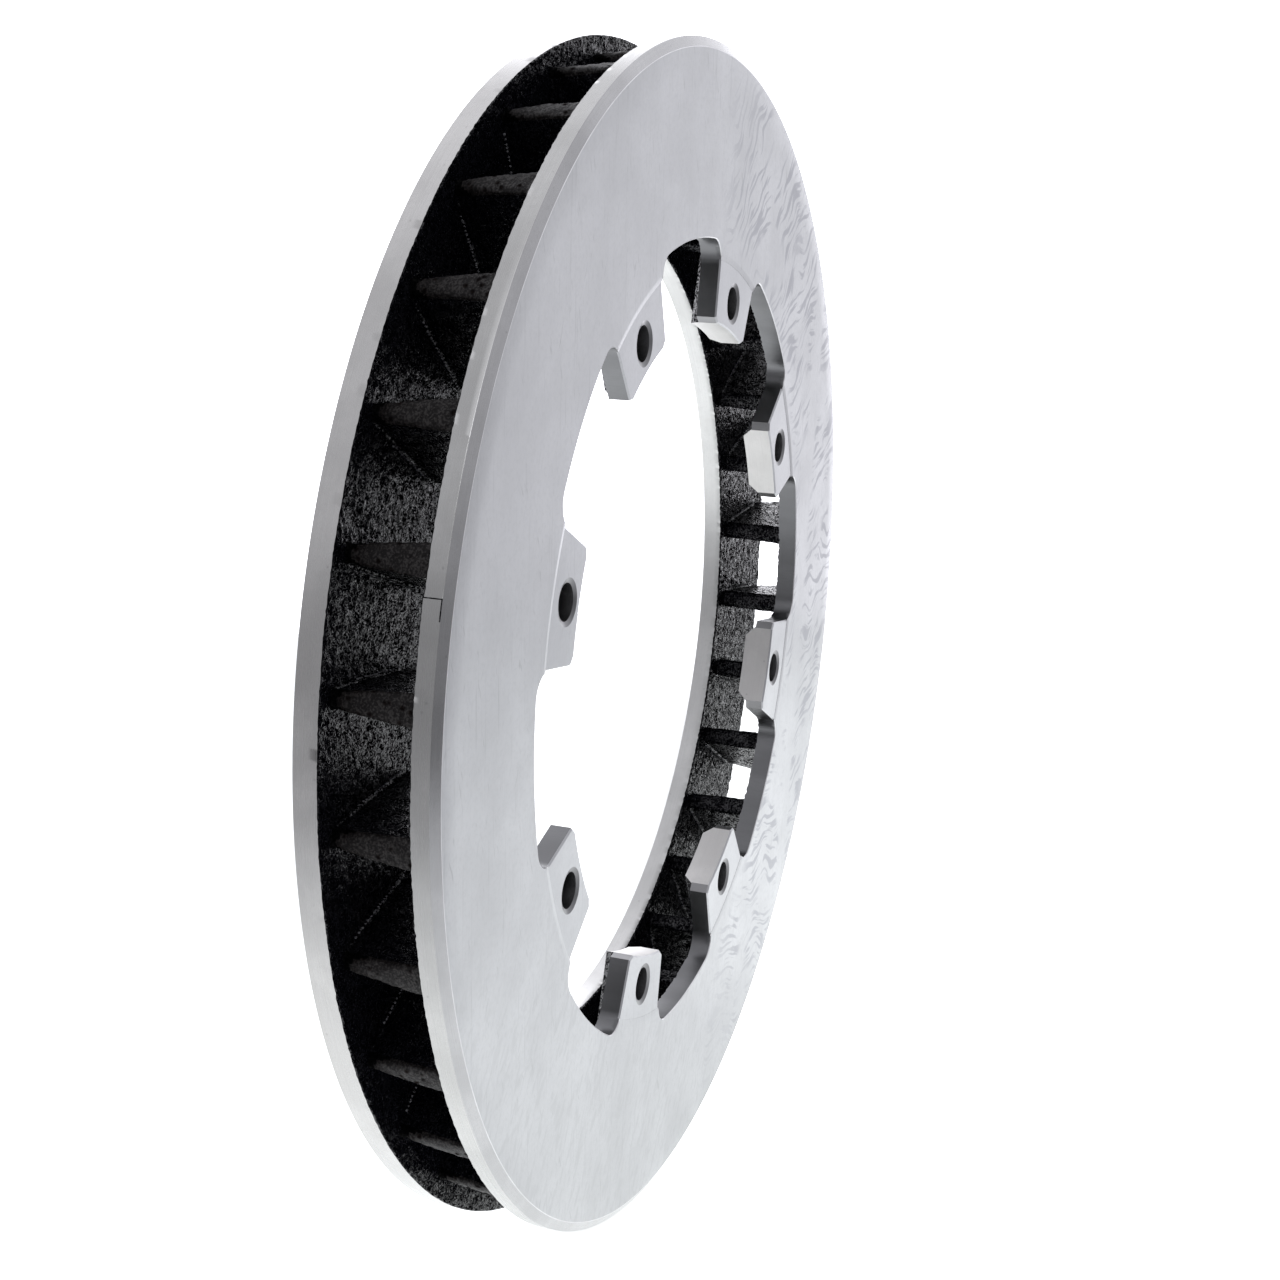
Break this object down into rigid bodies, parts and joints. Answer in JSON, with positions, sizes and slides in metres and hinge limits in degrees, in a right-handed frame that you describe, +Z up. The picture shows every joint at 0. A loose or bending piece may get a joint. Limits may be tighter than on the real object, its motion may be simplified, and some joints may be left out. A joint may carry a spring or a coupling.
{
  "type": "brake disc rotor",
  "caption": "Ventilated iron brake disc ring with straight radial vanes between two friction faces and drilled lugs round its bore for a bolt-on hat.",
  "frame": {"origin": "on the rotor's axis, in the plane of the eight lug seats", "axes": "Y is the rotor's axis, with the front (lug) side towards -Y; +Z is up, through the middle of a scallop between two lugs"},
  "size_m": [0.2984, 0.0318, 0.2984],
  "materials": {
    "machined_iron": "fine turned and ground metal, satin, with a thin oil film",
    "cast_skin": "dark as-cast sand skin, slightly rough, semi-gloss"
  },
  "bodies": {
    "root": {"front_friction_ring": "machined_iron", "rear_friction_ring": "machined_iron", "mounting_lug_1": "machined_iron", "mounting_lug_2": "machined_iron", "mounting_lug_3": "machined_iron", "mounting_lug_4": "machined_iron", "mounting_lug_5": "machined_iron", "mounting_lug_6": "machined_iron", "mounting_lug_7": "machined_iron", "mounting_lug_8": "machined_iron", "cooling_vane_01": "cast_skin", "cooling_vane_02": "cast_skin", "cooling_vane_03": "cast_skin", "cooling_vane_04": "cast_skin", "cooling_vane_05": "cast_skin", "cooling_vane_06": "cast_skin", "cooling_vane_07": "cast_skin", "cooling_vane_08": "cast_skin", "cooling_vane_09": "cast_skin", "cooling_vane_10": "cast_skin", "cooling_vane_11": "cast_skin", "cooling_vane_12": "cast_skin", "cooling_vane_13": "cast_skin", "cooling_vane_14": "cast_skin", "cooling_vane_15": "cast_skin", "cooling_vane_16": "cast_skin", "cooling_vane_17": "cast_skin", "cooling_vane_18": "cast_skin", "cooling_vane_19": "cast_skin", "cooling_vane_20": "cast_skin", "cooling_vane_21": "cast_skin", "cooling_vane_22": "cast_skin", "cooling_vane_23": "cast_skin", "cooling_vane_24": "cast_skin", "cooling_vane_25": "cast_skin", "cooling_vane_26": "cast_skin", "cooling_vane_27": "cast_skin", "cooling_vane_28": "cast_skin", "cooling_vane_29": "cast_skin", "cooling_vane_30": "cast_skin", "cooling_vane_31": "cast_skin", "cooling_vane_32": "cast_skin"}
  },
  "joints": []
}
